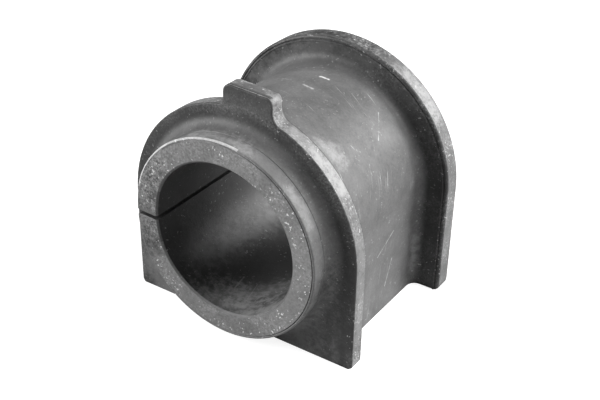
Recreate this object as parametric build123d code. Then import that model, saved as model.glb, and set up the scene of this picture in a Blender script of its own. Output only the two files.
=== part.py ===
"""Rubber bush that clamps a 30 mm stabiliser bar to a chassis, in millimetres.

The bush is moulded in one piece. A D-section block carries the bore. A thin flange stands at each end
of the block, so that the bracket's strap lies in the channel between them. The front flange has a
locating tab on its crown and a round collar that sweeps out into its face. A slit through one side
lets the bush open over the bar. The origin is on the bore's axis, half way along the bush. The collar
faces -Y, the flat seat faces -Z, and the slit is on the -X side.
"""

import os
from math import hypot

from build123d import *

# Driving dimensions
BAR_DIAMETER = 30.0
LENGTH = 40.6
SEAT_DEPTH = 21.25  # bore axis down to the flat seat
COLLAR_RADIUS = 19.75
COLLAR_LENGTH = 5.55
FRONT_FLANGE_THICKNESS = 3.4
FRONT_FLANGE_HALF_WIDTH = 24.5
FRONT_FLANGE_ARCH_RISE = -0.6  # arch centre, measured up from the bore axis
REAR_FLANGE_THICKNESS = 4.05
REAR_FLANGE_HALF_WIDTH = 25.65
REAR_FLANGE_ARCH_RISE = 0.65
BLOCK_HALF_WIDTH = 19.7
BLOCK_ARCH_RISE = 1.6
SLIT_GAP = 0.6
SLIT_DROP = 0.5  # middle of the slit, measured down from the bore axis

# Locating tab on the front flange's crown, measured from the bore axis
TAB_LEFT = -3.4
TAB_RIGHT = 6.9
TAB_LEFT_HEIGHT = 27.85
TAB_RIGHT_HEIGHT = 27.3
TAB_CORNER_RADIUS = 1.2
TAB_LEFT_ROOT_RADIUS = 0.7
TAB_RIGHT_ROOT_RADIUS = 2.2

# Moulded rounds and broken edges
COLLAR_SWEEP_RADIUS = 2.5
CHANNEL_ROOT_RADIUS = 2.0
FOOT_CORNER_RADIUS = 0.9
CHANNEL_RIM_RADIUS = 0.6
RIM_BEVEL = 0.3
COLLAR_BEVEL = 0.35
BORE_LIP = 0.35

# Places worked out from the driving dimensions
FRONT_Y = -LENGTH / 2
REAR_Y = LENGTH / 2
FRONT_FLANGE_Y = FRONT_Y + COLLAR_LENGTH
CHANNEL_FRONT_Y = FRONT_FLANGE_Y + FRONT_FLANGE_THICKNESS
CHANNEL_REAR_Y = REAR_Y - REAR_FLANGE_THICKNESS
BORE_RADIUS = BAR_DIAMETER / 2
SEAT_Z = -SEAT_DEPTH
CLEAR = 2.0  # how far a cutting tool runs past the rubber
TOUCH = 1e-4  # two places nearer than this are the same


def section_plane(y):
    """Plane square to the bore at y, seen from the collar end: local x is X and local y is Z."""
    return Plane(origin=(0, y, 0), x_dir=(1, 0, 0), z_dir=(0, -1, 0))


def slab(face, front_y, rear_y):
    """Extrude a section so that it fills the length from front_y to rear_y."""
    return extrude(section_plane(rear_y) * face, amount=rear_y - front_y)


def arched_section(half_width, arch_rise):
    """D section: a half-round arch on two upright sides that end at the seat."""
    outline = Line((-half_width, SEAT_Z), (half_width, SEAT_Z))
    outline += Line((half_width, SEAT_Z), (half_width, arch_rise))
    outline += CenterArc((0, arch_rise), half_width, 0, 180)
    outline += Line((-half_width, arch_rise), (-half_width, SEAT_Z))
    return make_face(outline)


def tab_section():
    """Locating tab, drawn from inside the flange up to its rounded crown."""
    corners = Polyline(
        (TAB_LEFT, 0),
        (TAB_LEFT, TAB_LEFT_HEIGHT),
        (TAB_RIGHT, TAB_RIGHT_HEIGHT),
        (TAB_RIGHT, 0),
        close=True,
    )
    tab = make_face(corners)
    return fillet(tab.vertices().group_by(Axis.Y)[-2:], TAB_CORNER_RADIUS)


def at_tab_root(vertex):
    """Say whether a corner of the front flange's outline is where the tab leaves the arch."""
    on_tab = min(abs(vertex.X - TAB_LEFT), abs(vertex.X - TAB_RIGHT)) < TOUCH
    return on_tab and 0 < vertex.Y < FRONT_FLANGE_HALF_WIDTH


def tabbed_section():
    """Front flange's outline, with the locating tab blended into its crown."""
    face = arched_section(FRONT_FLANGE_HALF_WIDTH, FRONT_FLANGE_ARCH_RISE) + tab_section()
    face = fillet(face.vertices().filter_by(at_tab_root).sort_by(Axis.X)[0], TAB_LEFT_ROOT_RADIUS)
    return fillet(face.vertices().filter_by(at_tab_root).sort_by(Axis.X)[-1], TAB_RIGHT_ROOT_RADIUS)


def footed(flange, face):
    """Round the two feet of a flange, where its upright sides meet the seat."""
    rounded = fillet(face.vertices().group_by(Axis.Y)[0], FOOT_CORNER_RADIUS)
    return flange & slab(rounded, -LENGTH, LENGTH)


def rim(flange, y):
    """Edges of a flange's outline on its face at y, apart from the one along the seat."""
    return [
        edge
        for edge in flange.edges()
        if max(abs((edge @ 0).Y - y), abs((edge @ 1).Y - y)) < TOUCH and (edge @ 0.5).Z > SEAT_Z + TOUCH
    ]


def front_flange():
    """Thin front flange with its tab, whose rims are broken by a small bevel."""
    face = tabbed_section()
    flange = slab(face, FRONT_FLANGE_Y, CHANNEL_FRONT_Y)
    flange = chamfer(rim(flange, FRONT_FLANGE_Y) + rim(flange, CHANNEL_FRONT_Y), RIM_BEVEL)
    return footed(flange, face)


def rear_flange():
    """Thicker, taller rear flange: its rim is rounded towards the channel and bevelled at the back."""
    face = arched_section(REAR_FLANGE_HALF_WIDTH, REAR_FLANGE_ARCH_RISE)
    flange = slab(face, CHANNEL_REAR_Y, REAR_Y)
    flange = fillet(rim(flange, CHANNEL_REAR_Y), CHANNEL_RIM_RADIUS)
    flange = chamfer(rim(flange, REAR_Y), RIM_BEVEL)
    return footed(flange, face)


def collar():
    """Round collar whose root sweeps out into the flange's face and is cut off flat by the seat."""
    sweep_y = FRONT_FLANGE_Y - COLLAR_SWEEP_RADIUS
    sweep_radius = COLLAR_RADIUS + COLLAR_SWEEP_RADIUS
    inside_y = FRONT_FLANGE_Y + FRONT_FLANGE_THICKNESS / 2
    profile = Line((0, inside_y), (0, FRONT_Y))
    profile += Line((0, FRONT_Y), (COLLAR_RADIUS, FRONT_Y))
    profile += Line((COLLAR_RADIUS, FRONT_Y), (COLLAR_RADIUS, sweep_y))
    profile += RadiusArc((COLLAR_RADIUS, sweep_y), (sweep_radius, FRONT_FLANGE_Y), COLLAR_SWEEP_RADIUS)
    profile += Line((sweep_radius, FRONT_FLANGE_Y), (sweep_radius, inside_y))
    profile += Line((sweep_radius, inside_y), (0, inside_y))
    turned = revolve(make_face(profile), Axis.Y)
    above_seat = Pos(0, 0, SEAT_Z) * Box(
        4 * COLLAR_RADIUS, 2 * LENGTH, 4 * COLLAR_RADIUS, align=(Align.CENTER, Align.CENTER, Align.MIN)
    )
    return turned & above_seat


def at_channel_root(edge):
    """Say whether an edge runs over the block's outline where it meets a flange's inner face."""
    middle = edge @ 0.5
    on_flange = min(abs(middle.Y - CHANNEL_FRONT_Y), abs(middle.Y - CHANNEL_REAR_Y)) < TOUCH
    reach = hypot(middle.X, max(middle.Z - BLOCK_ARCH_RISE, 0))
    return on_flange and abs(reach - BLOCK_HALF_WIDTH) < TOUCH


def block_with_flanges():
    """Block, flanges and collar in one body, with the channel's roots rounded."""
    block = slab(arched_section(BLOCK_HALF_WIDTH, BLOCK_ARCH_RISE), CHANNEL_FRONT_Y, CHANNEL_REAR_Y)
    body = block + front_flange() + rear_flange()
    return fillet(body.edges().filter_by(at_channel_root), CHANNEL_ROOT_RADIUS) + collar()


def bore():
    """Through bore with a small lip at each mouth."""
    hole = Cylinder(BORE_RADIUS, LENGTH + 2 * CLEAR)
    lip = Cone(BORE_RADIUS + BORE_LIP, BORE_RADIUS, BORE_LIP, align=(Align.CENTER, Align.CENTER, Align.MIN))
    along = Rot(-90, 0, 0)
    return along * hole + Pos(0, FRONT_Y, 0) * along * lip + Pos(0, REAR_Y, 0) * Rot(90, 0, 0) * lip


def slit():
    """Thin cut from the bore out through the -X side, along the whole bush."""
    reach = REAR_FLANGE_HALF_WIDTH + CLEAR
    cut = Box(reach, LENGTH + 2 * CLEAR, SLIT_GAP, align=(Align.MAX, Align.CENTER, Align.CENTER))
    return Pos(0, 0, -SLIT_DROP) * cut


def bush():
    """Whole bush as one moulded solid."""
    moulded = block_with_flanges()
    collar_edge = moulded.edges().filter_by(GeomType.CIRCLE).group_by(Axis.Y)[0]
    return chamfer(collar_edge, COLLAR_BEVEL) - bore() - slit()


os.makedirs("parts", exist_ok=True)
export_step(bush(), "parts/bush.step")
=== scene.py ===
import logging
import math
from dataclasses import dataclass
from enum import Enum
from functools import reduce
from typing import Callable

import bmesh
import bpy
from mathutils import Matrix, Vector


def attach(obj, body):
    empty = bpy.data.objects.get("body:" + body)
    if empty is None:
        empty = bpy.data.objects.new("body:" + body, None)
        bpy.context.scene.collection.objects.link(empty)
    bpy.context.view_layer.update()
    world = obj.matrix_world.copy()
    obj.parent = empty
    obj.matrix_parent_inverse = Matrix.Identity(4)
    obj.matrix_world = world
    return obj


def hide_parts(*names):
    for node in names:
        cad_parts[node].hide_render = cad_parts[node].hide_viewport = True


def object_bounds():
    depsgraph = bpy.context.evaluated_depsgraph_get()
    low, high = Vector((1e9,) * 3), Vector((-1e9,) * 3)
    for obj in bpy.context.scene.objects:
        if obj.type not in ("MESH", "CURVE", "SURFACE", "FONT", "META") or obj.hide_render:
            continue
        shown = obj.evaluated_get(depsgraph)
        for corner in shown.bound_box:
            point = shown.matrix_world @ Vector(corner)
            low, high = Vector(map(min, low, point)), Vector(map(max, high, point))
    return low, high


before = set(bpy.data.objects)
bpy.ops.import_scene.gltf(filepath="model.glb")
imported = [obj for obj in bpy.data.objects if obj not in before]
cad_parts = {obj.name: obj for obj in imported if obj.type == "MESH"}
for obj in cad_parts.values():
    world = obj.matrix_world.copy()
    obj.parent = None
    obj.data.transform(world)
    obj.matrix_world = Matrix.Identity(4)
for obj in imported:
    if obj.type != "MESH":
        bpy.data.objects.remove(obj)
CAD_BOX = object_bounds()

log = logging.getLogger("bush")

Socket = bpy.types.NodeSocket
Tree = bpy.types.NodeTree

MM = 0.001
NODE = "bush"
BODY = "root"
PIECE = "moulded_bush"

# Places along the bore, and the arches of the two flanges
COLLAR_Y = -20.3 * MM
BACK_Y = 20.3 * MM
FRONT_Y, FRONT_THICKNESS = -14.75 * MM, 3.4 * MM
REAR_Y, REAR_THICKNESS = 16.25 * MM, 4.05 * MM
FRONT_HALF_WIDTH, FRONT_RISE = 24.5 * MM, -0.6 * MM
REAR_HALF_WIDTH, REAR_RISE = 25.65 * MM, 0.65 * MM

# How the modelling cuts, joins and compares
NEAR = 0.002 * MM  # two places nearer than this are the same
FINE = 1e-7  # threshold of a clean cut
ROUND_STEPS = 192  # edges of a full circle
JOIN_GAP = 1.0 * MM  # how far two loops stand apart while they are bridged
FLARE = 0.06 * MM  # how far flat ground runs past a root before it is rounded
WHOLE_SIDE = 50  # a face with more corners than this is the whole side of a plate
SQUARE_ON = 0.99  # a normal with this much along an axis faces along it
SKIN_DEEP = 0.02 * MM  # how far a face may lie from the surface that it is sorted by
RIM_DEEP = 0.1 * MM  # how far inside a flange's outline its rim still counts


class Region(Enum):
    """Parts of the bush's skin that are finished differently, in material slot order."""

    SKIN = 0
    COLLAR_FACE = 1
    RIM = 2
    BORE = 3
    # EDGE: the thin rounded edges, painted pale as painted highlights
    EDGE = 4


# ------------------------------------------------------------------------------------------
# Shader helpers
# ------------------------------------------------------------------------------------------


@dataclass(frozen=True)
class Texture:
    """A noise texture, and the part of its range that a mask is made from."""

    scale: float
    detail: float = 2.0
    roughness: float = 0.5
    distortion: float = 0.0
    low: float = 0.0
    high: float = 1.0


SMUDGES = Texture(55.0, 4.0, 0.6, distortion=1.2)
CLOUDS = Texture(380.0, 5.0, 0.65)
GRIT = Texture(2100.0, 3.0, 0.75)
FILM_PATCHES = Texture(170.0, 3.0, 0.6, low=0.36, high=0.66)
FILM_MOTTLE = Texture(2300.0, 4.0, 0.7, low=0.38, high=0.68)
SPECKS = Texture(1900.0, low=0.64, high=0.7)
SPECK_SPREAD = Texture(260.0, low=0.38, high=0.62)
RAGGED_EDGE = Texture(700.0, 4.0, 0.7, low=0.3, high=0.7)
HAIR_WANDER = Texture(120.0)
HAIRS = Texture(1.0, low=0.63, high=0.74)
HAIR_PATCHES = Texture(95.0, low=0.46, high=0.62)
UNEVENNESS = Texture(140.0, 3.0)
GRAIN = Texture(2600.0, 3.0, 0.6)


class NodeSheet:
    """A node tree with short calls for adding and joining nodes."""

    def __init__(self, tree: Tree) -> None:
        """Keep the tree that nodes are added to."""
        self.tree = tree

    def add(self, kind: str, **settings: object) -> bpy.types.Node:
        """Add a node.

        Args:
            kind: The node's type, without the leading "ShaderNode" where it has one.
            settings: Attributes set on the node.

        Returns:
            The new node.
        """
        known = kind if kind.startswith("NodeGroup") else "ShaderNode" + kind
        node = self.tree.nodes.new(known)
        for name, value in settings.items():
            setattr(node, name, value)
        return node

    def join(self, source: Socket, target: Socket) -> None:
        """Link one socket to another."""
        self.tree.links.new(source, target)

    def feed(self, target: Socket, value: object) -> None:
        """Give a socket either a link or a constant.

        Args:
            target: The input socket.
            value: A socket to link from, or a number or tuple to set.
        """
        if isinstance(value, Socket):
            self.join(value, target)
        else:
            target.default_value = value

    def place_group(self, group: Tree, values: dict[str, object]) -> bpy.types.Node:
        """Place a shared group.

        Args:
            group: The group.
            values: A link or a constant for each named input.

        Returns:
            The group's node.
        """
        node = self.add("Group", node_tree=group)
        for name, value in values.items():
            self.feed(node.inputs[name], value)
        return node

    def surface(self, shader: Socket, kind: str = "OutputMaterial") -> None:
        """Join a shader to the tree's output."""
        self.join(shader, self.add(kind).inputs["Surface"])

    def math(
        self, operation: str, first: object, second: object = 0.0, clamp: bool = False
    ) -> Socket:
        """Add a Math node.

        Args:
            operation: The node's operation.
            first: A link or a number.
            second: A link or a number.
            clamp: Whether the value is kept between 0 and 1.

        Returns:
            The node's value.
        """
        node = self.add("Math", operation=operation, use_clamp=clamp)
        self.feed(node.inputs[0], first)
        self.feed(node.inputs[1], second)
        return node.outputs[0]

    def times(self, first: object, second: object, clamp: bool = False) -> Socket:
        """Multiply two numbers."""
        return self.math("MULTIPLY", first, second, clamp)

    def plus(self, first: object, second: object) -> Socket:
        """Add two numbers."""
        return self.math("ADD", first, second)

    def minus(self, first: object, second: object) -> Socket:
        """Take the second number from the first."""
        return self.math("SUBTRACT", first, second)

    def most(self, first: object, second: object) -> Socket:
        """Return the larger of two numbers."""
        return self.math("MAXIMUM", first, second)

    def mix(self, factor: object, first: object, second: object) -> Socket:
        """Blend two numbers.

        Args:
            factor: How much of the second number is in the result.
            first: The result where the factor is 0.
            second: The result where the factor is 1.

        Returns:
            The blended number.
        """
        node = self.add("Mix", data_type="FLOAT")
        for slot, value in ((0, factor), (2, first), (3, second)):
            self.feed(node.inputs[slot], value)
        return node.outputs[0]

    def ramp(
        self, value: object, low: float, high: float, to_low: float = 0.0, to_high: float = 1.0
    ) -> Socket:
        """Map a number from one range to another along a smooth step.

        Args:
            value: The number.
            low: Where the step starts.
            high: Where the step ends.
            to_low: Result before the step.
            to_high: Result after the step.

        Returns:
            The mapped number.
        """
        node = self.add("MapRange", interpolation_type="SMOOTHSTEP")
        ends = {"From Min": low, "From Max": high, "To Min": to_low, "To Max": to_high}
        for name, given in {"Value": value, **ends}.items():
            self.feed(node.inputs[name], given)
        return node.outputs["Result"]

    def noise(self, place: object, texture: Texture) -> Socket:
        """Add a noise texture.

        Args:
            place: Where the texture is read.
            texture: Its scale, detail and distortion.

        Returns:
            The texture's value.
        """
        node = self.add("TexNoise")
        self.feed(node.inputs["Vector"], place)
        for name in ("Scale", "Detail", "Roughness", "Distortion"):
            node.inputs[name].default_value = getattr(texture, name.lower())
        return node.outputs["Fac"]

    def mask(self, place: object, texture: Texture, peak: float = 1.0) -> Socket:
        """Make a mask from the middle of a noise texture's range."""
        return self.ramp(self.noise(place, texture), texture.low, texture.high, 0.0, peak)

    def vector(self, operation: str, first: object, second: object, give: str = "Vector") -> Socket:
        """Add a Vector Math node.

        Args:
            operation: The node's operation.
            first: A link or a vector.
            second: A link or a vector.
            give: Name of the output, "Vector" or "Value".

        Returns:
            The output.
        """
        node = self.add("VectorMath", operation=operation)
        self.feed(node.inputs[0], first)
        self.feed(node.inputs[1], second)
        return node.outputs[give]

    def dot(self, first: object, second: object) -> Socket:
        """Return the dot product of two vectors."""
        return self.vector("DOT_PRODUCT", first, second, "Value")

    def parts(self, place: Socket) -> tuple[Socket, ...]:
        """Split a place into its three parts.

        Args:
            place: The place.

        Returns:
            Its x, y and z.
        """
        node = self.add("SeparateXYZ")
        self.join(place, node.inputs[0])
        return tuple(node.outputs)


def blank_sheet(owner: object) -> NodeSheet:
    """Empty the nodes of a material or world.

    Args:
        owner: The material or world.

    Returns:
        Its empty node tree, as a sheet.
    """
    owner.use_nodes = True
    owner.node_tree.nodes.clear()
    return NodeSheet(owner.node_tree)


def new_group(
    name: str, inputs: dict[str, tuple], outputs: list[str]
) -> tuple[NodeSheet, dict[str, Socket], dict[str, Socket]]:
    """Start a shader group.

    Args:
        name: The group's name.
        inputs: Input names, each with its socket type and default value.
        outputs: Names of the numbers that the group puts out.

    Returns:
        The sheet to draw on, the group's input values by name and its output targets by name.
    """
    tree = bpy.data.node_groups.new(name, "ShaderNodeTree")
    for label, (kind, default) in inputs.items():
        socket = tree.interface.new_socket(label, in_out="INPUT", socket_type=kind)
        if default is not None:
            socket.default_value = default
    for label in outputs:
        tree.interface.new_socket(label, in_out="OUTPUT", socket_type=NUMBER)
    sheet = NodeSheet(tree)
    given = {s.name: s for s in sheet.add("NodeGroupInput").outputs if s.name}
    result = {s.name: s for s in sheet.add("NodeGroupOutput").inputs if s.name}
    return sheet, given, result


# ------------------------------------------------------------------------------------------
# Shader groups
# ------------------------------------------------------------------------------------------

NUMBER = "NodeSocketFloat"
PLACE = "NodeSocketVector"

SMUDGE_SHARE = 0.7  # how much of the bloom is broad smudges, and the rest is fine clouds
TONE_SWING = 4.0  # brings a noise's narrow range up to about 1
DARKEST = 0.2  # lowest tone that the bloom leaves

MARK_RAGGED = 0.8  # how far a mark's edge frays, in widths
MARK_FULL, MARK_GONE = 0.1, 1.5  # where a mark starts and ends to fade, in widths

HAIR_BEND = 1.6 * MM  # how far a hairline wanders
HAIR_STRETCH = 110.0  # scale along the hairlines
HAIR_PITCH = 2600.0  # scale across the hairlines
CHANNEL_STARTS = (-10.0 * MM, -8.0 * MM)
CHANNEL_ENDS = (13.0 * MM, 14.5 * MM)


def bloom_group() -> Tree:
    """Cloudy bloom on moulded rubber: broad smudges with finer clouds and grit in them.

    Returns:
        The group, whose Tone is around 1 and multiplies the rubber's own grey.
    """
    sheet, given, result = new_group(
        "rubber_bloom",
        {"Place": (PLACE, None), "Depth": (NUMBER, 0.3), "Grit": (NUMBER, 0.3)},
        ["Tone"],
    )
    smudges = sheet.times(sheet.noise(given["Place"], SMUDGES), SMUDGE_SHARE)
    clouds = sheet.times(sheet.noise(given["Place"], CLOUDS), 1.0 - SMUDGE_SHARE)
    bloom = sheet.times(sheet.minus(sheet.plus(smudges, clouds), 0.5), given["Depth"])
    grit = sheet.times(sheet.minus(sheet.noise(given["Place"], GRIT), 0.5), given["Grit"])
    swing = sheet.times(sheet.plus(bloom, grit), TONE_SWING)
    sheet.join(sheet.most(sheet.plus(swing, 1.0), DARKEST), result["Tone"])
    return sheet.tree


def dust_group() -> Tree:
    """Chalky dust: a mottled film that comes and goes, with small bright specks.

    Returns:
        The group, whose Film and Specks are masks from 0 to 1.
    """
    sheet, given, result = new_group(
        "chalk_dust",
        {"Place": (PLACE, None), "Film": (NUMBER, 0.3), "Specks": (NUMBER, 0.3)},
        ["Film", "Specks"],
    )
    for name, first, second in (
        ("Film", FILM_PATCHES, FILM_MOTTLE),
        ("Specks", SPECKS, SPECK_SPREAD),
    ):
        both = sheet.times(sheet.mask(given["Place"], first), sheet.mask(given["Place"], second))
        sheet.join(sheet.times(both, given[name], clamp=True), result[name])
    return sheet.tree


def mark_group() -> Tree:
    """One mark along a straight run between two places, ragged at its edge: a scratch or smudge, or
    a painted highlight or painted shade.

    Returns:
        The group, whose Mark is a mask from 0 to 1.
    """
    places = {name: (PLACE, None) for name in ("Place", "Start", "End")}
    sheet, given, result = new_group(
        "mark_or_painted_light", {**places, "Width": (NUMBER, 0.2 * MM), "Strength": (NUMBER, 0.5)}, ["Mark"]
    )
    run = sheet.vector("SUBTRACT", given["End"], given["Start"])
    offset = sheet.vector("SUBTRACT", given["Place"], given["Start"])
    along = sheet.math("DIVIDE", sheet.dot(offset, run), sheet.dot(run, run), clamp=True)
    nearest = sheet.add("VectorMath", operation="SCALE")
    sheet.join(run, nearest.inputs[0])
    sheet.join(along, nearest.inputs["Scale"])
    away = sheet.vector("DISTANCE", offset, nearest.outputs[0], "Value")
    widths = sheet.math("DIVIDE", away, given["Width"])
    ragged = sheet.plus(widths, sheet.mask(given["Place"], RAGGED_EDGE, MARK_RAGGED))
    mark = sheet.ramp(ragged, MARK_FULL, MARK_GONE, 1.0, 0.0)
    sheet.join(sheet.times(mark, given["Strength"], clamp=True), result["Mark"])
    return sheet.tree


def hairline_group() -> Tree:
    """Faint hairline scratches that run one way over the strap channel, in a few patches.

    Returns:
        The group, whose Hairline is a mask from 0 to 1.
    """
    places = {name: (PLACE, None) for name in ("Place", "Along", "Across")}
    sheet, given, result = new_group(
        "hairline_scratches", {**places, "Amount": (NUMBER, 0.3)}, ["Hairline"]
    )
    place = given["Place"]
    bend = sheet.times(sheet.noise(place, HAIR_WANDER), HAIR_BEND)
    across = sheet.plus(sheet.dot(place, given["Across"]), bend)
    combed = sheet.add("CombineXYZ")
    sheet.join(sheet.times(sheet.dot(place, given["Along"]), HAIR_STRETCH), combed.inputs[0])
    sheet.join(sheet.times(across, HAIR_PITCH), combed.inputs[1])
    hairs = sheet.times(sheet.mask(combed.outputs[0], HAIRS), sheet.mask(place, HAIR_PATCHES))
    y = sheet.parts(place)[1]
    channel = sheet.times(sheet.ramp(y, *CHANNEL_STARTS), sheet.ramp(y, *CHANNEL_ENDS, 1.0, 0.0))
    shown = sheet.times(sheet.times(hairs, channel), given["Amount"], clamp=True)
    sheet.join(shown, result["Hairline"])
    return sheet.tree


@dataclass(frozen=True)
class FlangeFace:
    """One flat flange face, for the finish that is bare on it and fades out around it."""

    y: float
    rise: float
    reach: float
    root: float
    fade: float = 1.4 * MM
    flat: float = 0.05 * MM
    root_fade: float = 2.0 * MM
    spill_rises: tuple[float, float] = (-2.2 * MM, -0.2 * MM)
    spill_falls: tuple[float, float] = (0.1 * MM, 0.7 * MM)

    def masks(self, sheet: NodeSheet, x: Socket, y: Socket, z: Socket) -> tuple[Socket, Socket]:
        """Draw the face's own two masks.

        Args:
            sheet: The group's nodes.
            x: Place across the bush.
            y: Place along the bore.
            z: Height above the bore's axis.

        Returns:
            Where the rubber is bare, and where dust spills in from the rim.
        """
        over = sheet.most(sheet.minus(z, self.rise), 0.0)
        out = sheet.math("SQRT", sheet.plus(sheet.times(x, x), sheet.times(over, over)))
        beside = sheet.math("ABSOLUTE", sheet.minus(y, self.y))
        here = sheet.ramp(beside, self.flat, self.fade, 1.0, 0.0)
        bare = sheet.times(here, sheet.ramp(out, self.root, self.root + self.root_fade))
        rising = sheet.ramp(out, *(self.reach + step for step in self.spill_rises))
        falling = sheet.ramp(out, *(self.reach + step for step in self.spill_falls), 1.0, 0.0)
        return bare, sheet.times(here, sheet.times(rising, falling))


FLANGE_FACES = (
    FlangeFace(FRONT_Y, FRONT_RISE, FRONT_HALF_WIDTH, 20.5 * MM),
    FlangeFace(FRONT_Y + FRONT_THICKNESS, FRONT_RISE, FRONT_HALF_WIDTH, 20.3 * MM),
    FlangeFace(REAR_Y, REAR_RISE, REAR_HALF_WIDTH, 19.8 * MM, fade=1.8 * MM),
    FlangeFace(BACK_Y, REAR_RISE, REAR_HALF_WIDTH, -5.0 * MM),
)


def flange_face_group() -> Tree:
    """Where the rubber is bare and glossy: on the flanges' flat faces, fading over their sweeps.

    Returns:
        The group, whose Bare is a mask from 0 to 1 and whose Spill is 1 beside a flange's rim.
    """
    names = ("Bare", "Spill")
    sheet, given, result = new_group("flange_faces", {"Place": (PLACE, None)}, list(names))
    x, y, z = sheet.parts(given["Place"])
    masks = [face.masks(sheet, x, y, z) for face in FLANGE_FACES]
    for name, found in zip(names, zip(*masks)):
        sheet.join(reduce(sheet.most, found), result[name])
    return sheet.tree


# ------------------------------------------------------------------------------------------
# Finishes
# ------------------------------------------------------------------------------------------


@dataclass(frozen=True)
class Mark:
    """A patch or scratch from one place to another: a real scratch or smudge, or painted highlight
    or painted shade. Places and width are millimetres.
    """

    start: tuple[float, float, float]
    end: tuple[float, float, float]
    width: float
    strength: float
    tone: float = 0.5


SKIN_MARKS_AND_LIGHT = (
    # Paler patches on the strap channel, and a painted highlight on the side of the collar
    Mark((12.0, -7.0, 17.1), (14.8, -5.4, 14.7), 2.6, 0.75, 0.36),
    Mark((10.6, 0.8, 18.2), (12.4, 5.8, 16.9), 4.5, 0.16, 0.3),
    Mark((17.0, 2.0, 11.5), (15.5, 10.0, 13.5), 4.5, 0.16, 0.3),
    Mark((13.6, -18.9, 14.3), (17.6, -18.7, 8.8), 1.9, 0.6, 0.32),
    # Smudges on the channel's crown, and a paler patch on the collar's crown
    Mark((0.5, 6.6, 21.2), (7.6, 5.6, 19.7), 2.6, 0.4, 0.06),
    Mark((2.0, -1.5, 21.2), (5.0, 1.0, 20.6), 2.4, 0.3, 0.07),
    Mark((-7.0, -18.8, 18.4), (4.0, -18.6, 19.3), 2.8, 0.8, 0.36),
    # Paler and darker parts of the flanges' faces, mostly painted light and painted shade, and a
    # painted highlight in the rear root
    Mark((-18.2, 16.25, 14.0), (-4.0, 16.25, 24.0), 5.0, 0.9, 0.13),
    Mark((-4.0, 16.25, 24.0), (7.5, 16.25, 23.3), 4.0, 0.7, 0.09),
    Mark((-22.4, -14.75, -17.0), (-21.0, -14.75, -12.0), 5.0, 0.9, 0.16),
    Mark((-3.0, -14.75, 23.0), (5.5, -14.75, 25.0), 3.6, 0.6, 0.1),
    # Painted shadow of the collar on the front flange's right side
    Mark((22.0, -14.75, -4.0), (19.0, -14.75, -20.0), 7.0, 0.8, 0.01),
    Mark((20.2, 15.2, -10.0), (20.3, 15.3, -18.0), 1.3, 0.6, 0.28),
    # Scratches on the strap channel
    Mark((19.7, 7.0, -4.5), (19.7, 1.3, -7.5), 0.16, 0.8, 0.5),
    Mark((19.7, 7.0, -10.8), (19.7, 4.9, -15.9), 0.22, 0.7, 0.5),
    Mark((1.0, 9.3, 21.3), (2.7, 9.4, 21.1), 0.32, 1.0, 0.8),
    Mark((0.5, 4.4, 21.3), (2.6, 4.2, 21.1), 0.4, 0.8, 0.6),
    Mark((11.6, 7.6, 17.6), (15.4, 7.9, 13.9), 0.14, 0.7, 0.5),
    Mark((12.8, 10.9, 16.6), (15.6, 6.4, 13.6), 0.14, 0.8, 0.55),
    Mark((14.2, -1.0, 15.3), (18.0, 0.7, 9.7), 0.13, 0.7, 0.5),
    Mark((15.7, -1.7, 13.5), (18.5, 2.7, 8.3), 0.13, 0.7, 0.5),
)
COLLAR_FACE_LIGHT_AND_SHADE = (
    # Painted light on the right side of the collar's face, painted shade on its left side
    Mark((17.0, -20.3, 3.0), (13.5, -20.3, -11.0), 5.0, 0.35, 0.25),
    Mark((-16.0, -20.3, 9.0), (-17.0, -20.3, -6.0), 6.0, 1.0, 0.02),
)
RIM_LIGHT_AND_SHADE = (
    # Rear flange: painted shade on its crown, and a painted highlight with dust on its upper right
    # shoulder
    Mark((-9.0, 18.0, 25.2), (6.0, 18.0, 25.4), 5.0, 1.0, 0.01),
    Mark((14.4, 18.0, 22.4), (20.8, 18.2, 16.4), 3.0, 0.8, 0.4),
    # Front flange: painted highlights on its right side, the tab's corner and the tab's top edges,
    # and with dust on its upper right shoulder
    Mark((24.5, -13.0, 6.0), (24.5, -13.0, -14.0), 3.2, 0.4, 0.32),
    Mark((5.4, -14.0, 27.0), (7.0, -12.6, 26.4), 1.3, 0.6, 0.4),
    Mark((-3.2, -14.2, 27.7), (4.6, -14.2, 27.4), 0.5, 0.9, 0.5),
    Mark((-2.6, -11.6, 27.7), (4.0, -11.6, 27.4), 0.6, 0.6, 0.35),
    Mark((10.0, -13.0, 21.7), (15.0, -13.2, 18.8), 2.6, 0.55, 0.42),
    Mark((15.5, -13.0, 18.3), (19.6, -13.0, 13.8), 3.0, 0.8, 0.42),
)
EDGE_HIGHLIGHTS = (
    # Painted highlights along the collar's outer edge, on its upper left and its right side
    Mark((-18.5, -20.2, 6.5), (-12.5, -20.2, 15.0), 3.2, 0.6, 0.7),
    Mark((-12.5, -20.2, 15.0), (1.0, -20.2, 19.6), 3.2, 0.4, 0.6),
    Mark((15.2, -20.2, 3.0), (12.5, -20.2, -9.0), 2.0, 0.8, 0.8),
)
BORE_SCRATCHES_AND_LIGHT = (
    # Scratches, then a painted band of light along the lower left wall, painted light on the front
    # of the floor and across the mouth, and painted shade on the left side
    Mark((-2.2, -14.4, -14.8), (-3.0, -9.6, -14.7), 0.22, 0.7, 0.4),
    Mark((1.8, -15.4, -14.9), (0.3, -9.9, -15.0), 0.22, 0.7, 0.4),
    Mark((-10.2, -13.0, -11.0), (-8.8, 8.0, -12.1), 4.8, 0.7, 0.2),
    Mark((0.0, -14.0, -15.0), (6.0, -9.5, -13.8), 5.5, 0.75, 0.26),
    Mark((-13.6, -13.0, -6.4), (-12.2, -19.0, -8.8), 3.6, 0.7, 0.015),
    Mark((-2.0, -18.0, -14.6), (10.0, -19.0, -11.0), 7.5, 0.95, 0.3),
)


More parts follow.
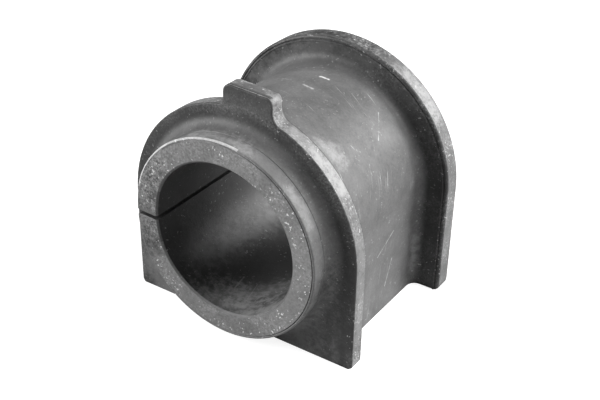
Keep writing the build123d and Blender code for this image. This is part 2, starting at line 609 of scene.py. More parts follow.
@dataclass(frozen=True)
class RubberFinish:
    """One finish of the moulded rubber. Tones are linear greys, and reliefs are in grains."""

    name: str
    tone: float
    bare_tone: float | None = None
    bloom: float = 0.3
    grit: float = 0.12
    film: float = 0.3
    film_tone: float = 0.3
    specks: float = 0.4
    speck_tone: float = 0.5
    spilt_film: float = 0.25
    spilt_specks: float = 0.5
    marks: tuple[Mark, ...] = ()
    hairlines: float = 0.0
    hairs_along: tuple[float, float, float] = (0.58, -0.3, -0.75)
    hairs_across: tuple[float, float, float] = (0.22, 0.95, -0.21)
    roughness: float = 0.5
    dusty_roughness: float = 0.8
    sheen_level: float = 0.5
    grain: float = 0.05 * MM
    uneven_relief: float = 3.0
    grain_relief: float = 0.35
    dust_relief: float = 0.4

    def build(self, groups: dict[str, Tree]) -> bpy.types.Material:
        """Make the material.

        Args:
            groups: The shared shader groups by name.

        Returns:
            A material that reads Object coordinates only.
        """
        material = bpy.data.materials.new(self.name)
        sheet = blank_sheet(material)
        place = sheet.add("TexCoord").outputs["Object"]
        tone, dust = self.dressed_tone(sheet, place, groups)
        grey = sheet.add("CombineColor")
        for channel in ("Red", "Green", "Blue"):
            sheet.join(tone, grey.inputs[channel])
        bump = sheet.add("Bump")
        bump.inputs["Distance"].default_value = self.grain
        sheet.join(self.height(sheet, place, dust), bump.inputs["Height"])
        shader = sheet.add("BsdfPrincipled")
        shader.inputs["Specular IOR Level"].default_value = self.sheen_level
        sheet.join(grey.outputs[0], shader.inputs["Base Color"])
        roughness = sheet.mix(dust, self.roughness, self.dusty_roughness)
        sheet.join(roughness, shader.inputs["Roughness"])
        sheet.join(bump.outputs["Normal"], shader.inputs["Normal"])
        sheet.surface(shader.outputs["BSDF"])
        material.diffuse_color = (self.tone, self.tone, self.tone, 1.0)
        return material

    def dressed_tone(
        self, sheet: NodeSheet, place: Socket, groups: dict[str, Tree]
    ) -> tuple[Socket, Socket]:
        """Lay bloom, marks and dust over the rubber's own grey; some marks are painted highlights
        and painted shade.

        Args:
            sheet: The material's nodes.
            place: Object coordinates.
            groups: The shared shader groups by name.

        Returns:
            The final tone and the dust mask.
        """
        own: object = self.tone
        film: object = self.film
        specks: object = self.specks
        if self.bare_tone is not None:
            faces = sheet.place_group(groups["faces"], {"Place": place}).outputs
            own = sheet.mix(faces["Bare"], self.tone, self.bare_tone)
            film = sheet.plus(sheet.times(faces["Spill"], self.spilt_film), self.film)
            specks = sheet.plus(sheet.times(faces["Spill"], self.spilt_specks), self.specks)
        bloom = {"Place": place, "Depth": self.bloom, "Grit": self.grit}
        tone = sheet.times(sheet.place_group(groups["bloom"], bloom).outputs["Tone"], own)
        for mark in self.marks:
            tone = self.lay_mark(sheet, place, groups["mark"], mark, tone)
        if self.hairlines:
            tone = self.scratched(sheet, place, groups["hairline"], tone)
        dust = {"Place": place, "Film": film, "Specks": specks}
        laid = sheet.place_group(groups["dust"], dust).outputs
        tone = sheet.mix(laid["Film"], tone, self.film_tone)
        return sheet.mix(laid["Specks"], tone, self.speck_tone), laid["Film"]

    def lay_mark(
        self, sheet: NodeSheet, place: Socket, group: Tree, mark: Mark, tone: Socket
    ) -> Socket:
        """Lay one mark over a tone.

        Args:
            sheet: The material's nodes.
            place: Object coordinates.
            group: The shared group that draws a mark.
            mark: The mark.
            tone: The tone beneath.

        Returns:
            The new tone.
        """
        values = {
            "Place": place,
            "Start": [value * MM for value in mark.start],
            "End": [value * MM for value in mark.end],
            "Width": mark.width * MM,
            "Strength": mark.strength,
        }
        return sheet.mix(sheet.place_group(group, values).outputs["Mark"], tone, mark.tone)

    def scratched(self, sheet: NodeSheet, place: Socket, group: Tree, tone: Socket) -> Socket:
        """Lay the hairline scratches over a tone.

        Args:
            sheet: The material's nodes.
            place: Object coordinates.
            group: The shared group that draws the hairlines.
            tone: The tone beneath.

        Returns:
            The new tone.
        """
        values = {
            "Place": place,
            "Along": self.hairs_along,
            "Across": self.hairs_across,
            "Amount": self.hairlines,
        }
        lines = sheet.place_group(group, values).outputs["Hairline"]
        return sheet.mix(lines, tone, self.speck_tone)

    def height(self, sheet: NodeSheet, place: Socket, dust: Socket) -> Socket:
        """Moulded unevenness and fine grain, with the dust standing on them.

        Args:
            sheet: The material's nodes.
            place: Object coordinates.
            dust: The dust mask.

        Returns:
            The height in grains.
        """
        broad = sheet.times(sheet.noise(place, UNEVENNESS), self.uneven_relief)
        grain = sheet.times(sheet.noise(place, GRAIN), self.grain_relief)
        return sheet.plus(sheet.plus(broad, grain), sheet.times(dust, self.dust_relief))


@dataclass(frozen=True)
class FinishSet:
    """All finishes of the bush, one for each region of its skin."""

    skin: RubberFinish = RubberFinish(
        "rubber_skin",
        tone=0.13,
        bare_tone=0.035,
        bloom=0.5,
        grit=0.18,
        film=0.15,
        specks=0.35,
        marks=SKIN_MARKS_AND_LIGHT,
        hairlines=0.8,
        sheen_level=0.34,
    )
    collar_face: RubberFinish = RubberFinish(
        "rubber_collar_face",
        tone=0.16,
        bloom=0.2,
        grit=0.42,
        film=0.95,
        film_tone=0.34,
        specks=1.6,
        speck_tone=0.7,
        marks=COLLAR_FACE_LIGHT_AND_SHADE,
    )
    rim: RubberFinish = RubberFinish(
        "rubber_rim",
        tone=0.11,
        grit=0.4,
        film=0.8,
        film_tone=0.4,
        specks=1.3,
        marks=RIM_LIGHT_AND_SHADE,
    )
    bore: RubberFinish = RubberFinish(
        "rubber_bore",
        tone=0.045,
        bloom=0.4,
        film_tone=0.14,
        specks=0.5,
        marks=BORE_SCRATCHES_AND_LIGHT,
        roughness=0.4,
    )
    # The rounded edges are painted pale as painted edge highlights, with dust on them
    edge: RubberFinish = RubberFinish(
        "rubber_edge_highlight",
        tone=0.45,
        bloom=0.5,
        grit=0.4,
        film=1.0,
        film_tone=0.62,
        specks=1.0,
        speck_tone=0.75,
        marks=EDGE_HIGHLIGHTS,
    )

    def build(self) -> list[bpy.types.Material]:
        """Make the shared groups and every material, in the order of Region.

        Returns:
            One material for each member of Region.
        """
        groups = {
            "bloom": bloom_group(),
            "dust": dust_group(),
            "mark": mark_group(),
            "faces": flange_face_group(),
            "hairline": hairline_group(),
        }
        order = (self.skin, self.collar_face, self.rim, self.bore, self.edge)
        return [finish.build(groups) for finish in order]


# ------------------------------------------------------------------------------------------
# Modelling helpers
# ------------------------------------------------------------------------------------------


def pick(kind: str, test: Callable[[object], bool]) -> None:
    """Select the edit mesh's elements of one kind that pass a test, and no others.

    Args:
        kind: "VERT", "EDGE" or "FACE".
        test: Says whether an element is wanted, from its place or normal.
    """
    bpy.ops.mesh.select_mode(type=kind)
    bpy.ops.mesh.select_all(action="DESELECT")
    data = bpy.context.edit_object.data
    mesh = bmesh.from_edit_mesh(data)
    for item in {"VERT": mesh.verts, "EDGE": mesh.edges, "FACE": mesh.faces}[kind]:
        if test(item):
            item.select_set(True)
    mesh.select_flush_mode()
    bmesh.update_edit_mesh(data)


def take_all() -> None:
    """Select the whole edit mesh."""
    bpy.ops.mesh.select_all(action="SELECT")


def face_outwards() -> None:
    """Turn all faces of the edit mesh outwards."""
    take_all()
    bpy.ops.mesh.normals_make_consistent(inside=False)


def near(first: float, second: float) -> bool:
    """Say whether two measures are the same."""
    return abs(first - second) < NEAR


def lies(item: object, y: float) -> bool:
    """Say whether an edge or face lies square to the bore at a place along it."""
    return all(near(vertex.co.y, y) for vertex in item.verts)


def reach(vertex: object) -> float:
    """Distance of a vertex from the bore's axis."""
    return math.hypot(vertex.co.x, vertex.co.z)


def on_ring(edge: object, y: float, radius: float) -> bool:
    """Say whether an edge is part of a ring about the bore's axis."""
    return lies(edge, y) and all(near(reach(vertex), radius) for vertex in edge.verts)


def circle(name: str, radius: float, y: float, z: float = 0.0) -> bpy.types.Object:
    """Add a circle square to the bore and leave it in edit mode.

    Args:
        name: Name of the new object.
        radius: The circle's radius.
        y: Place along the bore.
        z: Height of its middle above the bore's axis.

    Returns:
        The object.
    """
    bpy.ops.object.select_all(action="DESELECT")
    bpy.ops.mesh.primitive_circle_add(
        vertices=ROUND_STEPS,
        radius=radius,
        location=(0.0, y, z),
        rotation=(math.pi / 2, 0.0, 0.0),
    )
    piece = bpy.context.object
    piece.name = name
    bpy.ops.object.transform_apply(location=True, rotation=True, scale=True)
    bpy.ops.object.mode_set(mode="EDIT")
    return piece


def pull(y: float = 0.0) -> None:
    """Extrude the selection along the bore."""
    bpy.ops.mesh.extrude_region_move(TRANSFORM_OT_translate={"value": (0.0, y, 0.0)})


def draw_on(step: tuple[float, float, float] | Vector) -> None:
    """Draw edges on from the selected vertices by one step."""
    bpy.ops.mesh.extrude_vertices_move(TRANSFORM_OT_translate={"value": step})


def widen(factor: float, z: float = 0.0) -> None:
    """Scale the selection about an axis along the bore at a height."""
    bpy.ops.transform.resize(value=(factor, 1.0, factor), center_override=(0.0, 0.0, z))


def shift(x: float = 0.0, y: float = 0.0, z: float = 0.0, **options: object) -> None:
    """Move the selection."""
    bpy.ops.transform.translate(value=(x, y, z), **options)


def round_off(size: float, segments: int, region: Region | None = None) -> None:
    """Round the selected edges.

    Args:
        size: How far the round reaches.
        segments: Steps of the round.
        region: Region that the new faces belong to, where it isn't their neighbours'.
    """
    slot = -1 if region is None else region.value
    bpy.ops.mesh.bevel(offset=size, segments=segments, clamp_overlap=False, material=slot)


def cut_at(place: tuple, normal: tuple, **options: bool) -> None:
    """Cut the selection cleanly along a plane."""
    bpy.ops.mesh.bisect(plane_co=place, plane_no=normal, threshold=FINE, **options)


# ------------------------------------------------------------------------------------------
# The bush
# ------------------------------------------------------------------------------------------


@dataclass(frozen=True)
class Arch:
    """D-shaped outline square to the bore: a half-round arch on upright sides."""

    half_width: float
    rise: float
    depth: float = 24.5 * MM  # how far below the bore's axis the sides run, past the seat

    def draw(self, name: str, y: float) -> bpy.types.Object:
        """Draw the closed outline at a place along the bore, and leave it in edit mode.

        Args:
            name: Name of the new object.
            y: Place along the bore.

        Returns:
            The object, whose mesh is one closed loop of edges.
        """
        piece = circle(name, self.half_width, y, self.rise)
        pick("VERT", lambda v: v.co.z < self.rise - NEAR)
        bpy.ops.mesh.delete(type="VERT")
        pick("VERT", lambda v: near(v.co.z, self.rise))
        draw_on((0.0, 0.0, -self.depth - self.rise))
        bpy.ops.mesh.edge_face_add()
        bpy.ops.mesh.subdivide(number_cuts=ROUND_STEPS // 4 - 1)
        pick("EDGE", self.is_leg)
        bpy.ops.mesh.subdivide(number_cuts=ROUND_STEPS // 8 - 1)
        return piece

    def is_leg(self, edge: object) -> bool:
        """Say whether an edge stands upright below the arch."""
        first, second = (vertex.co for vertex in edge.verts)
        return near(first.x, second.x) and max(first.z, second.z) < self.rise + NEAR

    def out(self, x: float, z: float) -> float:
        """Distance of a place from the arch's middle, or from the upright middle line below it."""
        return math.hypot(x, max(z - self.rise, 0.0))


@dataclass(frozen=True)
class Tab:
    """Locating tab on the crown of the front flange, with its four rounds."""

    left: float = -3.4 * MM
    right: float = 6.9 * MM
    left_height: float = 27.7 * MM
    right_height: float = 27.15 * MM
    left_corner_round: float = 1.6 * MM
    right_corner_round: float = 1.15 * MM
    left_root_round: float = 0.9 * MM
    right_root_round: float = 1.7 * MM
    root_clearance: float = 1.9 * MM
    crown: float = 1.0 * MM  # depth below the top within which a place is part of the top
    flash: float = 0.1 * MM
    flash_cuts: tuple[float, ...] = (0.42 * MM, 0.58 * MM, 0.74 * MM, 0.94 * MM, 1.14 * MM)

    def raise_on(self, arch: Arch) -> None:
        """Draw the tab into an arch outline that is open for editing, and fill the outline.

        Args:
            arch: The outline that the tab stands on.
        """
        start, end = self.left - self.root_clearance, self.right + self.root_clearance
        pick("VERT", lambda v: start < v.co.x < end and v.co.z > 0)
        bpy.ops.mesh.delete(type="VERT")
        self.rise_side(arch, self.left, self.left_height, lambda v: v.co.x < self.left)
        self.rise_side(arch, self.right, self.right_height, lambda v: v.co.x > self.right)
        pick("VERT", lambda v: v.co.z > self.right_height - NEAR)
        bpy.ops.mesh.edge_face_add()
        take_all()
        bpy.ops.mesh.edge_face_add()
        left_top, right_top = self.left_height - self.crown, self.right_height - self.crown
        self.round_corner(self.left, 0.0, left_top, self.left_root_round)
        self.round_corner(self.right, 0.0, right_top, self.right_root_round)
        self.round_corner(self.left, left_top, math.inf, self.left_corner_round)
        self.round_corner(self.right, right_top, math.inf, self.right_corner_round)

    def leave_flash(self, front_y: float) -> None:
        """Raise the fine line of flash along the tab's top and sink the witness line behind it.

        Args:
            front_y: Place of the flange's front face along the bore.
        """
        top = self.right_height - self.crown
        for behind in self.flash_cuts:
            pick("FACE", lambda f: f.normal.z > 0.9 and f.calc_center_median().z > top)
            cut_at((0.0, front_y + behind, 0.0), (0.0, 1.0, 0.0))
        for behind, height in ((self.flash_cuts[1], self.flash), (self.flash_cuts[3], -self.flash)):
            pick("VERT", lambda v: near(v.co.y, front_y + behind) and v.co.z > top)
            shift(z=height)

    def rise_side(
        self, arch: Arch, x: float, height: float, beside: Callable[[object], bool]
    ) -> None:
        """Draw one side of the tab up from the arch.

        Args:
            arch: The outline that the tab stands on.
            x: Place of the side.
            height: Top of the side.
            beside: Says whether a vertex is on this side of the tab.
        """
        mesh = bmesh.from_edit_mesh(bpy.context.edit_object.data)
        start = next(v.co.copy() for v in mesh.verts if len(v.link_edges) == 1 and beside(v))
        root = Vector((x, start.y, arch.rise + math.sqrt(arch.half_width**2 - x * x)))
        pick("VERT", lambda v: (v.co - start).length < NEAR)
        draw_on(root - start)
        draw_on((0.0, 0.0, height - root.z))

    def round_corner(self, x: float, low: float, high: float, size: float) -> None:
        """Round the outline's corner at x between two heights."""
        pick("VERT", lambda v: near(v.co.x, x) and low < v.co.z < high)
        bpy.ops.mesh.bevel(offset=size, segments=6, affect="VERTICES", clamp_overlap=False)


@dataclass(frozen=True)
class Plate:
    """Flange plate with rounded rims, whose two faces are left open for joining."""

    arch: Arch
    front_y: float
    thickness: float
    front_round: float
    rear_round: float
    bead: tuple[tuple[float, float], ...] = ()
    tab: Tab | None = None

    @property
    def rear_y(self) -> float:
        """Place of the plate's rear face along the bore."""
        return self.front_y + self.thickness

    def model(self, name: str) -> bpy.types.Object:
        """Model the plate.

        Args:
            name: Name of the new object.

        Returns:
            The open plate, in object mode.
        """
        piece = self.arch.draw(name, self.front_y)
        if self.tab:
            self.tab.raise_on(self.arch)
        else:
            take_all()
            bpy.ops.mesh.edge_face_add()
        take_all()
        pull(self.thickness)
        face_outwards()
        self.round_rim(self.front_y, self.front_round)
        self.round_rim(self.rear_y, self.rear_round)
        pick("FACE", lambda f: self.is_side(f, self.front_y))
        for inwards, outwards in self.bead:
            bpy.ops.mesh.inset(thickness=inwards, depth=outwards)
        if self.tab:
            self.tab.leave_flash(self.front_y)
        pick("FACE", lambda f: self.is_side(f, self.front_y) or self.is_side(f, self.rear_y))
        bpy.ops.mesh.delete(type="ONLY_FACE")
        bpy.ops.object.mode_set(mode="OBJECT")
        return piece

    def is_side(self, face: object, y: float) -> bool:
        """Say whether a face is the plate's whole flat side at a place along the bore."""
        return len(face.verts) > WHOLE_SIDE and near(face.calc_center_median().y, y)

    def holds(self, x: float, y: float, z: float) -> bool:
        """Say whether a place is on the plate's rim or tab."""
        outside = self.arch.out(x, z) > self.arch.half_width - RIM_DEEP
        return self.front_y < y < self.rear_y and outside

    def round_rim(self, y: float, size: float) -> None:
        """Round the rim on one face of the plate."""
        pick("EDGE", lambda e: lies(e, y))
        round_off(size, 4, Region.EDGE)


# Insets that sink the witness groove inside the rear flange's front rim and raise the bead
# beside it: how far each goes in, and how far it comes out of the face
REAR_FLANGE_BEAD = (
    (0.04 * MM, 0.0),
    (0.14 * MM, -0.16 * MM),
    (0.1 * MM, 0.0),
    (0.16 * MM, 0.3 * MM),
    (0.14 * MM, 0.02 * MM),
    (0.2 * MM, -0.16 * MM),
)


@dataclass(frozen=True)
class Barrel:
    """Collar, its face and the bore behind it, drawn as one circle pulled along the bore."""

    radius: float = 19.75 * MM
    front_y: float = COLLAR_Y
    root_y: float = FRONT_Y
    rear_y: float = BACK_Y
    bore_radius: float = 15.0 * MM
    sweep: float = 2.35 * MM
    lip: float = 0.35 * MM
    lip_round: float = 0.12 * MM
    edge_round: float = 0.3 * MM
    seam_y: float = -17.3 * MM
    seam: float = 0.12 * MM
    witness_inset: float = 0.42 * MM
    witness: float = 0.12 * MM
    witness_tilt: float = math.radians(-0.36)

    def model(self, name: str) -> bpy.types.Object:
        """Model the collar and bore.

        Args:
            name: Name of the new object.

        Returns:
            The object, in object mode, open where it joins the flanges.
        """
        radius, y = self.radius + self.sweep + FLARE, self.root_y - JOIN_GAP
        piece = circle(name, radius, y)
        bpy.ops.mesh.select_mode(type="EDGE")
        take_all()
        for next_radius, next_y in self.profile(y):
            pull(next_y - y)
            widen(next_radius / radius)
            radius, y = next_radius, next_y
        groove_y = self.front_y + self.witness
        pick("VERT", lambda v: near(v.co.y, groove_y) and reach(v) > self.bore_radius + MM)
        bpy.ops.transform.rotate(
            value=self.witness_tilt, orient_axis="Z", center_override=(0.0, groove_y, 0.0)
        )
        pick("EDGE", lambda e: on_ring(e, self.front_y, self.radius))
        round_off(self.edge_round, 3, Region.EDGE)
        mouth = self.bore_radius + self.lip
        for y in (self.front_y, self.rear_y):
            pick("EDGE", lambda e: on_ring(e, y, mouth) and not e.is_boundary)
            round_off(self.lip_round, 2)
        bpy.ops.object.mode_set(mode="OBJECT")
        return piece

    def profile(self, start_y: float) -> tuple[tuple[float, float], ...]:
        """Radius and place of each ring after the first, from the collar's root into the bore.

        Args:
            start_y: Place of the first ring.

        Returns:
            The rings in order.
        """
        inner = self.radius - self.witness_inset
        return (
            (self.radius, start_y),
            (self.radius, self.seam_y + self.seam),
            (self.radius - self.seam, self.seam_y),
            (self.radius, self.seam_y - self.seam),
            (self.radius, self.front_y),
            (inner, self.front_y),
            (inner - self.witness, self.front_y + self.witness),
            (inner - 2 * self.witness, self.front_y),
            (self.bore_radius + self.lip, self.front_y),
            (self.bore_radius, self.front_y + self.lip),
            (self.bore_radius, self.rear_y - self.lip),
            (self.bore_radius + self.lip, self.rear_y + JOIN_GAP),
        )


@dataclass(frozen=True)
class MouldedBush:
    """The one-piece rubber moulding: collar, two flanges and the block, joined into one skin."""

    front: Plate = Plate(
        arch=Arch(FRONT_HALF_WIDTH, FRONT_RISE),
        front_y=FRONT_Y,
        thickness=FRONT_THICKNESS,
        front_round=0.3 * MM,
        rear_round=0.35 * MM,
        tab=Tab(),
    )
    rear: Plate = Plate(
        arch=Arch(REAR_HALF_WIDTH, REAR_RISE),
        front_y=REAR_Y,
        thickness=REAR_THICKNESS,
        front_round=0.5 * MM,
        rear_round=0.35 * MM,
        bead=REAR_FLANGE_BEAD,
    )
    block: Arch = Arch(19.7 * MM, 1.6 * MM)
    barrel: Barrel = Barrel()
    seat_z: float = -21.25 * MM
    root_round: float = 1.95 * MM
    foot_round: float = 0.7 * MM
    foot_margin: float = 0.5 * MM  # between a foot's round and the corner cut around it
    foot_reach: float = 2.0 * MM  # a face that comes this near to a foot's side is cut
    slit_top: float = -0.12 * MM
    slit_bottom: float = -0.88 * MM
    notch: float = 0.3 * MM
    notch_depth: float = 0.8 * MM
    # Where the collar's lip is given the pale edge finish as a painted highlight
    highlight_lip_x: float = 4.0 * MM
    highlight_lip_z: float = 5.0 * MM
    pinch: float = 0.25 * MM
    pinch_reach: float = 9.0 * MM
    smooth_angle: float = math.radians(40)

    def model(self) -> bpy.types.Object:
        """Model the moulding.

        Returns:
            The finished mesh object, at the origin.
        """
        channel = (self.front.rear_y, self.rear.front_y)
        others = [
            self.front.model("front_flange"),
            self.rear.model("rear_flange"),
            self.model_block(channel),
        ]
        piece = self.barrel.model(PIECE)
        for other in others:
            other.select_set(True)
        bpy.ops.object.join()
        piece.data.name = PIECE
        bpy.ops.object.mode_set(mode="EDIT")
        self.join_face(self.front.front_y, -JOIN_GAP)
        self.join_face(channel[0], JOIN_GAP)
        self.join_face(channel[1], -JOIN_GAP)
        self.join_face(self.barrel.rear_y, JOIN_GAP)
        take_all()
        bpy.ops.mesh.remove_doubles(threshold=NEAR)
        face_outwards()
        self.sweep_roots(channel)
        self.cut_seat()
        self.cut_slit()
        self.ease_slit()
        bpy.ops.object.mode_set(mode="OBJECT")
        bpy.ops.object.shade_smooth_by_angle(angle=self.smooth_angle)
        bpy.ops.object.modifier_add(type="WEIGHTED_NORMAL")
        flatten = piece.modifiers[-1]
        flatten.keep_sharp = True
        bpy.ops.object.modifier_apply(modifier=flatten.name)
        return piece

    def model_block(self, channel: tuple[float, float]) -> bpy.types.Object:
        """Model the block between the flanges, with a flat flare at each end for its root.

        Args:
            channel: Where the channel starts and ends along the bore.

        Returns:
            The open block, in object mode.
        """
        piece = self.block.draw("block", channel[0] + JOIN_GAP)
        bpy.ops.mesh.select_mode(type="EDGE")
        take_all()
        pull(channel[1] - channel[0] - 2 * JOIN_GAP)
        self.flare()
        pick("EDGE", lambda e: lies(e, channel[0] + JOIN_GAP))
        self.flare()
        bpy.ops.object.mode_set(mode="OBJECT")
        return piece

    def flare(self) -> None:
        """Pull the block's selected outline straight outwards, a little past its root's round."""
        pull()
        widen(1.0 + (self.root_round + FLARE) / self.block.half_width, self.block.rise)

    def join_face(self, y: float, gap: float) -> None:
        """Bridge a plate's open face to the loop that stands off it, and set the loop down.

        Args:
            y: Place of the face along the bore.
            gap: How far the loop stands off it.
        """
        pick("EDGE", lambda e: e.is_boundary and (lies(e, y) or lies(e, y + gap)))
        bpy.ops.mesh.bridge_edge_loops()
        pick("VERT", lambda v: near(v.co.y, y + gap))
        shift(y=-gap)

    def sweep_roots(self, channel: tuple[float, float]) -> None:
        """Round the collar's root and both roots of the channel.

        Args:
            channel: Where the channel starts and ends along the bore.
        """
        pick("EDGE", lambda e: on_ring(e, self.front.front_y, self.barrel.radius))
        round_off(self.barrel.sweep, 10)
        for y in channel:
            pick("EDGE", lambda e: lies(e, y) and all(self.on_block(v) for v in e.verts))
            round_off(self.root_round, 8)

    def on_block(self, vertex: object) -> bool:
        """Say whether a vertex lies on the block's outline."""
        out = self.block.out(vertex.co.x, vertex.co.z)
        return near(out, self.block.half_width) or near(vertex.co.z, -self.block.depth)

    def cut_seat(self) -> None:
        """Cut the moulding off flat at the seat and round the flanges' feet."""
        take_all()
        cut_at((0.0, 0.0, self.seat_z), (0.0, 0.0, -1.0), use_fill=True, clear_outer=True)
        for plate in (self.front, self.rear):
            self.frame_feet(plate)
            pick("EDGE", lambda e: self.is_foot(e, plate))
            round_off(self.foot_round, 5, Region.EDGE)

    def frame_feet(self, plate: Plate) -> None:
        """Cut a small corner into a flange's flat faces at each foot, so its round stays in it.

        Args:
            plate: The flange.
        """
        outer, inset = plate.arch.half_width, self.foot_round + self.foot_margin
        above = ((0.0, 0.0, self.seat_z + inset), (0.0, 0.0, 1.0))
        for side in (-1.0, 1.0):
            inner = ((side * (outer - inset), 0.0, 0.0), (1.0, 0.0, 0.0))
            for place, normal in (inner, above):
                pick(
                    "FACE",
                    lambda f: (lies(f, plate.front_y) or lies(f, plate.rear_y))
                    and max(side * v.co.x for v in f.verts) > outer - self.foot_reach
                    and min(v.co.z for v in f.verts) < self.seat_z + MM,
                )
                cut_at(place, normal)

    def is_foot(self, edge: object, plate: Plate) -> bool:
        """Say whether an edge is where a flange's upright side meets the seat.

        Args:
            edge: The edge.
            plate: The flange.

        Returns:
            True on either foot of the flange.
        """
        inside = plate.arch.half_width - max(plate.front_round, plate.rear_round) - NEAR
        middle = (edge.verts[0].co + edge.verts[1].co) / 2
        spans = plate.front_y - NEAR < middle.y < plate.rear_y + NEAR
        return spans and all(near(v.co.z, self.seat_z) and abs(v.co.x) > inside for v in edge.verts)

    def cut_slit(self) -> None:
        """Cut the thin slit from the bore out through the -X side and close its two walls."""
        walls = (self.slit_top, self.slit_bottom)
        for z in walls:
            pick(
                "FACE",
                lambda f: f.calc_center_median().x < 0 and all(v.co.x < NEAR for v in f.verts),
            )
            cut_at((0.0, 0.0, z), (0.0, 0.0, 1.0))
        pick("EDGE", lambda e: all(near(v.co.z, 0.0) and v.co.x < 0.0 for v in e.verts))
        bpy.ops.mesh.dissolve_edges()
        low, high = self.slit_bottom - NEAR, self.slit_top + NEAR
        pick(
            "FACE",
            lambda f: f.calc_center_median().x < 0 and all(low < v.co.z < high for v in f.verts),
        )
        bpy.ops.mesh.delete(type="FACE")
        for z in walls:
            pick("EDGE", lambda e: e.is_boundary and all(near(v.co.z, z) for v in e.verts))
            bpy.ops.mesh.edge_face_add()
        face_outwards()

    def ease_slit(self) -> None:
        """Notch the slit's mouth at the collar's edge and let the collar draw in around it."""
        outer = -self.barrel.radius + self.notch_depth
        root = self.barrel.root_y - self.barrel.sweep
        pick(
            "EDGE",
            lambda e: self.on_slit(e) and all(v.co.x < outer and v.co.y < root for v in e.verts),
        )
        round_off(self.notch, 2, Region.EDGE)
        mouth_y = self.barrel.front_y + MM
        pick(
            "VERT",
            lambda v: v.co.x < 0.0 and abs(v.co.z - self.slit_top) < MM and v.co.y < mouth_y,
        )
        shift(
            x=self.pinch,
            use_proportional_edit=True,
            proportional_edit_falloff="SMOOTH",
            proportional_size=self.pinch_reach,
        )

    def on_slit(self, edge: object) -> bool:
        """Say whether an edge bounds one of the slit's walls.

        Args:
            edge: The edge.

        Returns:
            True where it lies level on the upper or the lower wall.
        """
        first, second = (vertex.co.z for vertex in edge.verts)
        on_wall = near(first, self.slit_top) or near(first, self.slit_bottom)
        return near(first, second) and on_wall

    def region_of(self, face: bpy.types.MeshPolygon) -> Region:
        """Tell which region of the skin a face belongs to, from its place and normal.

        Args:
            face: A face of the finished mesh.

        Returns:
            The region.
        """
        x, y, z = face.center
        away = math.hypot(x, z)
        collar = self.barrel
        if y < collar.front_y + SKIN_DEEP:
            return Region.COLLAR_FACE
        on_lip = y < collar.front_y + collar.lip and away > collar.radius - collar.lip - RIM_DEEP
        # The collar's lip on its upper left takes the pale edge finish, a painted highlight.
        if on_lip and x < self.highlight_lip_x and z > self.highlight_lip_z:
            return Region.EDGE
        # The slit's walls take the dark bore finish, as painted shade in the narrow gap.
        in_slit = x < 0.0 and self.slit_bottom - NEAR < z < self.slit_top + NEAR
        if away < collar.bore_radius + SKIN_DEEP or (in_slit and abs(face.normal.z) > SQUARE_ON):
            return Region.BORE
        on_rim = self.front.holds(x, y, z) or self.rear.holds(x, y, z)
        if on_rim and abs(face.normal.y) < 0.1 and z > self.seat_z + RIM_DEEP:
            return Region.RIM
        return Region.SKIN

    def dress(self, piece: bpy.types.Object, materials: list[bpy.types.Material]) -> None:
        """Give the piece its materials and each face its region.

        Args:
            piece: The finished mesh object.
            materials: One material for each member of Region.
        """
        for material in materials:
            piece.data.materials.append(material)
        for face in piece.data.polygons:
            if face.material_index != Region.EDGE.value:
                face.material_index = self.region_of(face).value


# ------------------------------------------------------------------------------------------
# Studio
# ------------------------------------------------------------------------------------------


def way_to(azimuth: float, elevation: float) -> Vector:
    """Direction from the bush to a place around it.

    Args:
        azimuth: Angle in radians from -Y, in front of the collar, towards +X.
        elevation: Angle in radians above the level.

    Returns:
        The direction, one long.
    """
    level = math.cos(elevation)
    return Vector((math.sin(azimuth) * level, -math.cos(azimuth) * level, math.sin(elevation)))


@dataclass(frozen=True)
class Softbox:
    """A square soft lamp aimed at the bush. Its angles are degrees, as for way_to."""

    name: str
    azimuth: float
    elevation: float
    distance: float
    size: float
    power: float

    def hang(self, aim: Vector) -> None:
        """Add the lamp, facing the aim point.

        Args:
            aim: The point that it faces.
        """
        way = way_to(math.radians(self.azimuth), math.radians(self.elevation))
        lamp = bpy.data.lights.new(self.name, "AREA")
        lamp.shape = "SQUARE"
        lamp.size = self.size
        lamp.energy = self.power
        holder = bpy.data.objects.new(self.name, lamp)
        holder.location = aim + way * self.distance
        holder.rotation_euler = way.to_track_quat("Z", "Y").to_euler()
        bpy.context.scene.collection.objects.link(holder)


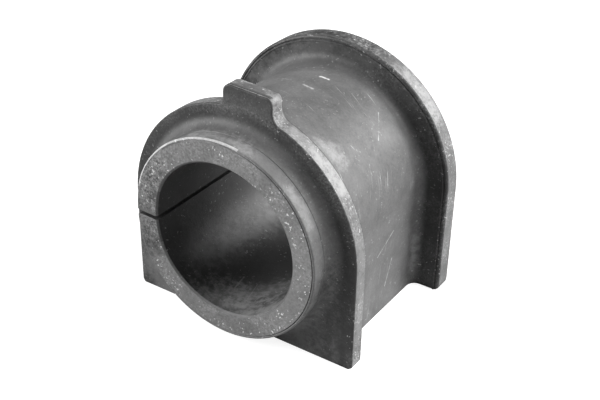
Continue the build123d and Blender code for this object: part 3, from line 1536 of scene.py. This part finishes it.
@dataclass(frozen=True)
class Studio:
    """White sweep of floor, soft lamps and the camera. The camera's angles are degrees."""

    aim: tuple[float, float, float] = (4.62 * MM, -2.3 * MM, 1.47 * MM)
    camera_azimuth: float = 33.342
    camera_elevation: float = 30.526
    camera_roll: float = 1.124
    camera_distance: float = 198.9 * MM
    lens: float = 64.3
    sensor_width: float = 36.0
    clip: tuple[float, float] = (0.01, 20.0)
    floor_size: float = 6.0
    floor_grey: float = 0.5
    floor_glow: tuple[float, float] = (0.85, 1.0)  # beside the bush, and far away from it
    floor_glow_reach: tuple[float, float] = (0.15, 0.6)
    ambient: float = 0.03
    reflected_share: float = 0.3
    softboxes: tuple[Softbox, ...] = (
        Softbox("key", 115.0, 46.0, 0.6, 0.42, 4.3),
        Softbox("side", 130.0, 28.0, 0.6, 0.4, 3.1),
        Softbox("fill", 308.0, 22.0, 0.6, 0.36, 4.1),
    )

    def build(self) -> None:
        """Set up floor, world, lamps and camera."""
        self.lay_floor()
        self.light_world()
        for box in self.softboxes:
            box.hang(Vector(self.aim))
        self.place_camera()

    def lay_floor(self) -> None:
        """Lay a wide pale floor that keeps the bush's shadow."""
        bpy.ops.object.select_all(action="DESELECT")
        level = CAD_BOX[0][2]
        bpy.ops.mesh.primitive_plane_add(size=self.floor_size, location=(0.0, 0.0, level))
        floor = bpy.context.object
        floor.name = "floor"
        bpy.ops.object.transform_apply(location=True)
        floor.data.materials.append(self.floor_material())

    def floor_material(self) -> bpy.types.Material:
        """Make the white floor, lifted a little where the camera sees it.

        Returns:
            The material.
        """
        material = bpy.data.materials.new("floor_white")
        sheet = blank_sheet(material)
        paint = sheet.add("BsdfDiffuse")
        paint.inputs["Color"].default_value = (self.floor_grey,) * 3 + (1.0,)
        away = sheet.add("VectorMath", operation="LENGTH")
        sheet.join(sheet.add("TexCoord").outputs["Object"], away.inputs[0])
        lift = sheet.ramp(away.outputs["Value"], *self.floor_glow_reach, *self.floor_glow)
        glow = sheet.add("Emission")
        glow.inputs["Color"].default_value = (1.0, 1.0, 1.0, 1.0)
        sheet.join(sheet.times(self.seen(sheet), lift), glow.inputs["Strength"])
        total = sheet.add("AddShader")
        sheet.join(paint.outputs[0], total.inputs[0])
        sheet.join(glow.outputs[0], total.inputs[1])
        sheet.surface(total.outputs[0])
        return material

    def seen(self, sheet: NodeSheet) -> Socket:
        """Mask of what the camera sees, straight or in a reflection.

        Args:
            sheet: Nodes of the floor's material or the world.

        Returns:
            1 where the camera sees it straight, and the reflected share in a reflection.
        """
        path = sheet.add("LightPath").outputs
        reflected = sheet.most(path["Is Glossy Ray"], path["Is Transmission Ray"])
        return sheet.most(path["Is Camera Ray"], sheet.times(reflected, self.reflected_share))

    def light_world(self) -> None:
        """Even grey light all round, seen as white behind the floor."""
        world = bpy.data.worlds.new("studio")
        bpy.context.scene.world = world
        sheet = blank_sheet(world)
        back = sheet.add("Background")
        back.inputs["Color"].default_value = (1.0, 1.0, 1.0, 1.0)
        sheet.join(sheet.mix(self.seen(sheet), self.ambient, 1.0), back.inputs["Strength"])
        sheet.surface(back.outputs[0], "OutputWorld")

    def place_camera(self) -> None:
        """Add the camera, square on to the aim point with a slight roll."""
        turn = math.radians(self.camera_azimuth)
        rise = math.radians(self.camera_elevation)
        data = bpy.data.cameras.new("camera")
        data.lens = self.lens
        data.sensor_width = self.sensor_width
        data.clip_start, data.clip_end = self.clip
        camera = bpy.data.objects.new("camera", data)
        stand = Matrix.Rotation(turn, 4, "Z") @ Matrix.Rotation(math.pi / 2 - rise, 4, "X")
        stand = stand @ Matrix.Rotation(math.radians(self.camera_roll), 4, "Z")
        place = Vector(self.aim) + way_to(turn, rise) * self.camera_distance
        camera.matrix_world = Matrix.Translation(place) @ stand
        bpy.context.scene.collection.objects.link(camera)
        bpy.context.scene.camera = camera


def main() -> None:
    logging.basicConfig(level=logging.INFO, format="%(name)s: %(message)s")
    bpy.context.scene.view_settings.view_transform = "Standard"
    bush = MouldedBush()
    piece = bush.model()
    bush.dress(piece, FinishSet().build())
    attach(piece, BODY)
    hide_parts(NODE)
    log.info("%s: %d faces", piece.name, len(piece.data.polygons))
    Studio().build()


if __name__ == "__main__":
    main()
